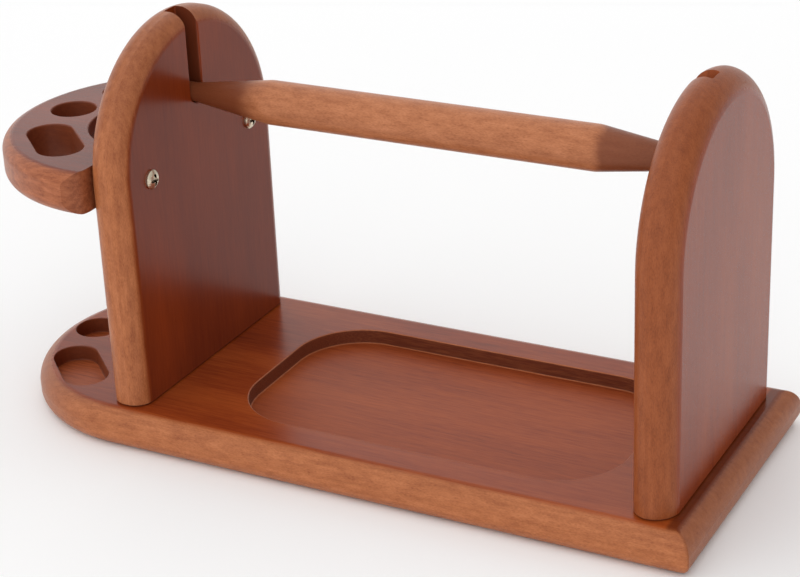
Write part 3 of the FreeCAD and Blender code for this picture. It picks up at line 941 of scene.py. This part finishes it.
class CADDY_OT_hanging_rod(bpy.types.Operator):
    """Turns the rod: a straight barrel, a long taper to each side and tips for the grooves"""

    bl_idname = "caddy.hanging_rod"
    bl_label = "Hanging Rod"

    def execute(self, context):
        sizes = context.scene.caddy_rod
        look = context.scene.caddy_wood
        wood = stained_wood(
            "rod_wood", look, ALONG_X, (0.15, 0.8, 2.2), look.edge_rod, ends=0.95, saw=0.35, round_shade=0
        )
        labels = ("Reach", "Barrel", "Taper end", "Radius", "Tip radius", "Tip bevel", "Shoulder")
        kinds = {label: "NodeSocketFloat" for label in labels}
        kinds["Rings"] = "NodeSocketInt"
        nodes, size, marks = new_tree("Turned Rod", kinds)

        start = nodes.add("ShaderNodeCombineXYZ", None, {"X": -size["Reach"], "Z": ROD_AXIS})
        end = nodes.add("ShaderNodeCombineXYZ", None, {"X": size["Reach"], "Z": ROD_AXIS})
        axis = nodes.add("GeometryNodeCurvePrimitiveLine", None, {"Start": start, "End": end})
        axis = nodes.add("GeometryNodeResampleCurve", None, {"Curve": axis, "Count": size["Rings"]})
        place = nodes.add("GeometryNodeInputPosition")
        away = abs(nodes.add("ShaderNodeSeparateXYZ", None, {0: place}))
        run = size["Taper end"] - size["Barrel"]
        slope = (size["Radius"] - size["Tip radius"]) / run
        cone = size["Tip radius"] + slope * (size["Taper end"] - away)
        turned = cone.maths("SMOOTH_MIN", cone, size["Radius"], size["Shoulder"])
        turned = turned.maths("MAXIMUM", turned, size["Tip radius"])
        past = away - (size["Reach"] - size["Tip bevel"])
        turned = turned - past.maths("MAXIMUM", past, 0)
        sockets = {"Resolution": HOLE_STEPS, "Radius": 1.0}
        ring = nodes.add("GeometryNodeCurvePrimitiveCircle", None, sockets)
        sockets = {"Curve": axis, "Profile Curve": ring, "Scale": turned, "Fill Caps": True}
        close_tree(nodes, nodes.add("GeometryNodeCurveToMesh", None, sockets), wood)

        rod = grown_piece("hanging_rod_wood", nodes, marks, {
            "Reach": ROD_HIGH.x,
            "Barrel": sizes.barrel / 2,
            "Taper end": RIGHT_LOW.x,
            "Radius": sizes.diameter / 2,
            "Tip radius": sizes.tip_diameter / 2,
            "Tip bevel": sizes.tip_bevel,
            "Shoulder": sizes.shoulder,
            "Rings": sizes.rings,
        })
        shade(rod)
        mark(rod, ACROSS, ACROSS)
        surface = rod.data.attributes["surface"]
        for corner, loop in enumerate(rod.data.loops):
            spot = rod.data.vertices[loop.vertex_index].co
            drift = noise.noise(spot * STAIN_GRAIN) * sizes.stain_drift
            past = abs(spot.x) - sizes.barrel / 2 + drift
            run, full = (sizes.left_run, 1) if spot.x < 0 else (sizes.right_run, sizes.right_stain)
            surface.data[corner].vector.z = min(max(past / run, 0), 1) * full
        hand_over(rod, "rod", "turned_wood", wood, "hanging_rod")
        return {"FINISHED"}


# Depth and reach of the rings of a cross recess. Half an arm is an eighth of its mouth.
CROSS_RINGS = (-0.2, 1.08), (0.0, 1.0), (0.55, 0.82), (1.0, 0.4)
ARM_PART = 8
ARM_FLOOR, ARM_TAPER = 0.55, 0.45

# Width of the crosses as a share of the head, and depth as a share of its crown or width
PAN_CROSS_WIDTH, PAN_CROSS_DEPTH = 0.7, 0.9
SUNK_CROSS_WIDTH, SUNK_CROSS_DEPTH = 0.6, 0.3


def cross_recess(across, depth, top):
    """A cutter for a tapered cross in a screw head that faces up."""
    rings = []
    for level, reach in CROSS_RINGS:
        arm = across / 2 * reach
        half = across / ARM_PART * (ARM_FLOOR + ARM_TAPER * reach)
        loop = []
        for turn in range(4):
            cos, sin = round(math.cos(turn * math.pi / 2)), round(math.sin(turn * math.pi / 2))
            for x, y in ((half, half), (half, arm), (-half, arm)):
                loop.append((x * cos - y * sin, x * sin + y * cos, top - depth * level))
        rings.append(loop)
    return shell("cross", rings)


def driven_screw(profile, across, depth, top):
    """A screw round Z, from its radius and height, with a cross recess in its head."""
    screw = level_shell("screw", circle(0, 0, 0), profile)
    carve(screw, [cross_recess(across, depth, top)])
    shade(screw)
    mark(screw, UP, UP)
    return screw


def set_screws(name, screw, material, values):
    """Sets a screw on a grid of places, two along Y and a number of rows along X."""
    nodes, size, marks = new_tree(name, {
        "Screw": "NodeSocketObject",
        "Along": "NodeSocketFloat",
        "Across": "NodeSocketFloat",
        "Rows": "NodeSocketInt",
        "Place": "NodeSocketVector",
        "Turn": "NodeSocketRotation",
    })
    grid = nodes.add("GeometryNodeMeshGrid", None, {
        "Size X": size["Along"],
        "Size Y": size["Across"],
        "Vertices X": size["Rows"],
        "Vertices Y": 2,
    })
    sockets = {"Geometry": grid, "Translation": size["Place"]}
    grid = nodes.add("GeometryNodeTransform", None, sockets)
    shape = nodes.add("GeometryNodeObjectInfo", None, {"Object": size["Screw"]}, "Geometry")
    sockets = {"Points": grid, "Instance": shape, "Rotation": size["Turn"]}
    close_tree(nodes, nodes.add("GeometryNodeInstanceOnPoints", None, sockets), material)
    screws = grown_piece(name, nodes, marks, {"Screw": screw, **values})
    bpy.data.objects.remove(screw)
    return screws


class CADDY_OT_shelf_screws(bpy.types.Operator):
    """Sets the two pan-head screws that hold the shelf"""

    bl_idname = "caddy.shelf_screws"
    bl_label = "Shelf Screws"

    def execute(self, context):
        sizes = context.scene.caddy_screws
        look = context.scene.caddy_metal
        brass = plated_metal("brass_plating", look, look.brass)
        radius, shank = sizes.shelf_head / 2, sizes.shelf_shank / 2
        rise = sizes.shelf_head_height - sizes.shelf_head_rim
        crown = (radius ** 2 + rise ** 2) / (2 * rise)
        tip = sizes.shelf_length - sizes.point
        profile = [(CLEAR, -sizes.shelf_length), (shank, -tip), (shank, 0), (radius, 0)]
        swing = math.asin(radius / crown)
        for i in range(ROUND_STEPS):
            turn = swing * (1 - i / ROUND_STEPS)
            drop = crown * (1 - math.cos(turn))
            profile.append((crown * math.sin(turn), sizes.shelf_head_height - drop))
        across, depth = PAN_CROSS_WIDTH * sizes.shelf_head, PAN_CROSS_DEPTH * rise
        screw = driven_screw(profile, across, depth, sizes.shelf_head_height)
        screws = set_screws("shelf_screws", screw, brass, {
            "Along": 0.0,
            "Across": sizes.shelf_spacing,
            "Rows": 1,
            "Place": (LEFT_HIGH.x, 0, SHELF_MIDDLE),
            "Turn": (0, math.pi / 2, 0),
        })
        hand_over(screws, "caddy", "brass_screw", brass, "shelf_screw_front", "shelf_screw_rear")
        return {"FINISHED"}


class CADDY_OT_foot_screws(bpy.types.Operator):
    """Sets the four countersunk screws that hold the uprights"""

    bl_idname = "caddy.foot_screws"
    bl_label = "Foot Screws"

    def execute(self, context):
        sizes = context.scene.caddy_screws
        look = context.scene.caddy_metal
        zinc = plated_metal("zinc_plating", look, look.zinc)
        radius, shank = sizes.foot_head / 2, sizes.foot_shank / 2
        neck = sizes.foot_rim + radius - shank
        profile = [
            (CLEAR, -sizes.foot_length),
            (shank, sizes.point - sizes.foot_length),
            (shank, -neck),
            (radius, -sizes.foot_rim),
            (radius, 0),
        ]
        across, depth = SUNK_CROSS_WIDTH * sizes.foot_head, SUNK_CROSS_DEPTH * sizes.foot_head
        screw = driven_screw(profile, across, depth, 0)
        screws = set_screws("foot_screws", screw, zinc, {
            "Along": (RIGHT_LOW.x + RIGHT_HIGH.x - LEFT_LOW.x - LEFT_HIGH.x) / 2,
            "Across": sizes.foot_spacing,
            "Rows": 2,
            "Place": (0, 0, BASE_LOW.z + sizes.foot_sink),
            "Turn": (math.pi, 0, 0),
        })
        nodes = [
            f"{side}_upright_screw_{end}" for side in ("left", "right") for end in ("front", "rear")
        ]
        hand_over(screws, "caddy", "steel_screw", zinc, *nodes)
        return {"FINISHED"}


# The viewpoint: its turn, its lens, the point it aims past and its distance
CAMERA_TURN = math.radians(28.484)
CAMERA_RISE = math.radians(24.481)
CAMERA_ROLL = math.radians(-2.528)
CAMERA_LENS = 94.203
CAMERA_SENSOR = 36
CAMERA_AIM = Vector((0, 0, 0.06))
CAMERA_SIDE = -0.01307
CAMERA_LIFT = 0.00176
CAMERA_DISTANCE = 0.79124


def set_camera(scene):
    back = Vector((
        math.sin(CAMERA_TURN) * math.cos(CAMERA_RISE),
        -math.cos(CAMERA_TURN) * math.cos(CAMERA_RISE),
        math.sin(CAMERA_RISE),
    ))
    right = Vector((math.cos(CAMERA_TURN), math.sin(CAMERA_TURN), 0))
    up = back.cross(right)
    aim = CAMERA_AIM + right * CAMERA_SIDE + up * CAMERA_LIFT
    across = right * math.cos(CAMERA_ROLL) + up * math.sin(CAMERA_ROLL)
    upward = up * math.cos(CAMERA_ROLL) - right * math.sin(CAMERA_ROLL)
    lens = bpy.data.cameras.new("camera")
    lens.sensor_fit = "HORIZONTAL"
    lens.sensor_width = CAMERA_SENSOR
    lens.lens = CAMERA_LENS
    camera = bpy.data.objects.new("camera", lens)
    turned = Matrix((across, upward, back)).transposed().to_4x4()
    camera.matrix_world = Matrix.Translation(aim + back * CAMERA_DISTANCE) @ turned
    scene.collection.objects.link(camera)
    scene.camera = camera


# The floor's disc, a hair below the base, and its faint haze
FLOOR_RADIUS = 5.0
FLOOR_BOTTOM = -0.01
FLOOR_GAP = 0.00005
FLOOR_ROUGHNESS = 0.8
HAZE = (3, 3, 3), 2
HAZE_COVER = 0.05
HAZE_COLOUR = (0.8, 0.8, 0.8)

# The light grows weaker towards one side of the room
WHITE = (1, 1, 1)
DIM_SIDE = Vector((0.85, 0.5, -0.1)).normalized()
DIMMING = -0.1, 0.8


class CADDY_OT_stage(bpy.types.Operator):
    """Sets the floor, the lights and the camera"""

    bl_idname = "caddy.stage"
    bl_label = "Stage"

    def execute(self, context):
        scene = context.scene
        look = scene.caddy_stage
        profile = [(FLOOR_RADIUS, FLOOR_BOTTOM), (FLOOR_RADIUS, BASE_LOW.z - FLOOR_GAP)]
        floor = level_shell("floor", circle(0, 0, 0), profile)
        material, nodes = new_material("pale_floor")
        place = nodes.add("ShaderNodeTexCoord", output="Object")
        haze = nodes.noise(place, *HAZE) * HAZE_COVER
        close_material(nodes, {
            "Base Color": nodes.blend(haze, rgba(look.floor), rgba(HAZE_COLOUR)),
            "Roughness": FLOOR_ROUGHNESS,
        })
        floor.data.materials[0] = material

        world = bpy.data.worlds.new("room")
        world.use_nodes = True
        world.node_tree.nodes.clear()
        nodes = Nodes(world.node_tree)
        place = nodes.add("ShaderNodeTexCoord", output="Generated")
        sockets = {0: place, 1: DIM_SIDE}
        toward = nodes.add("ShaderNodeVectorMath", {"operation": "DOT_PRODUCT"}, sockets, "Value")
        strength = look.room - nodes.step(toward, *DIMMING) * look.dim
        sockets = {"Color": rgba(WHITE), "Strength": strength}
        light = nodes.add("ShaderNodeBackground", None, sockets)
        nodes.add("ShaderNodeOutputWorld", None, {"Surface": light})
        scene.world = world
        scene.view_settings.view_transform = "Standard"
        set_camera(scene)
        return {"FINISHED"}


OPERATORS = (
    CADDY_OT_base_board,
    CADDY_OT_uprights,
    CADDY_OT_tool_shelf,
    CADDY_OT_hanging_rod,
    CADDY_OT_shelf_screws,
    CADDY_OT_foot_screws,
    CADDY_OT_stage,
)
GROUPS = {
    "caddy_base": CaddyBaseSizes,
    "caddy_uprights": CaddyUprightSizes,
    "caddy_shelf": CaddyShelfSizes,
    "caddy_rod": CaddyRodSizes,
    "caddy_screws": CaddyScrewSizes,
    "caddy_wood": CaddyWoodLook,
    "caddy_metal": CaddyMetalLook,
    "caddy_stage": CaddyStageLook,
}


class CADDY_PT_panel(bpy.types.Panel):
    """Lists the caddy's sizes, looks and pieces"""

    bl_idname = "CADDY_PT_panel"
    bl_label = "Tool Caddy"
    bl_space_type = "VIEW_3D"
    bl_region_type = "UI"
    bl_category = "Caddy"

    def draw(self, context):
        for name, group in GROUPS.items():
            box = self.layout.box()
            box.label(text=name.replace("_", " ").title())
            for size in group.__annotations__:
                box.prop(getattr(context.scene, name), size)
        for operator in OPERATORS:
            self.layout.operator(operator.bl_idname)


def register():
    for name, group in GROUPS.items():
        bpy.utils.register_class(group)
        setattr(bpy.types.Scene, name, PointerProperty(type=group))
    for item in (*OPERATORS, CADDY_PT_panel):
        bpy.utils.register_class(item)


def unregister():
    for item in (CADDY_PT_panel, *reversed(OPERATORS)):
        bpy.utils.unregister_class(item)
    for name, group in reversed(GROUPS.items()):
        delattr(bpy.types.Scene, name)
        bpy.utils.unregister_class(group)


def main():
    register()
    bpy.ops.caddy.base_board()
    bpy.ops.caddy.uprights()
    bpy.ops.caddy.tool_shelf()
    bpy.ops.caddy.hanging_rod()
    bpy.ops.caddy.shelf_screws()
    bpy.ops.caddy.foot_screws()
    bpy.ops.caddy.stage()


if __name__ == "__main__":
    main()
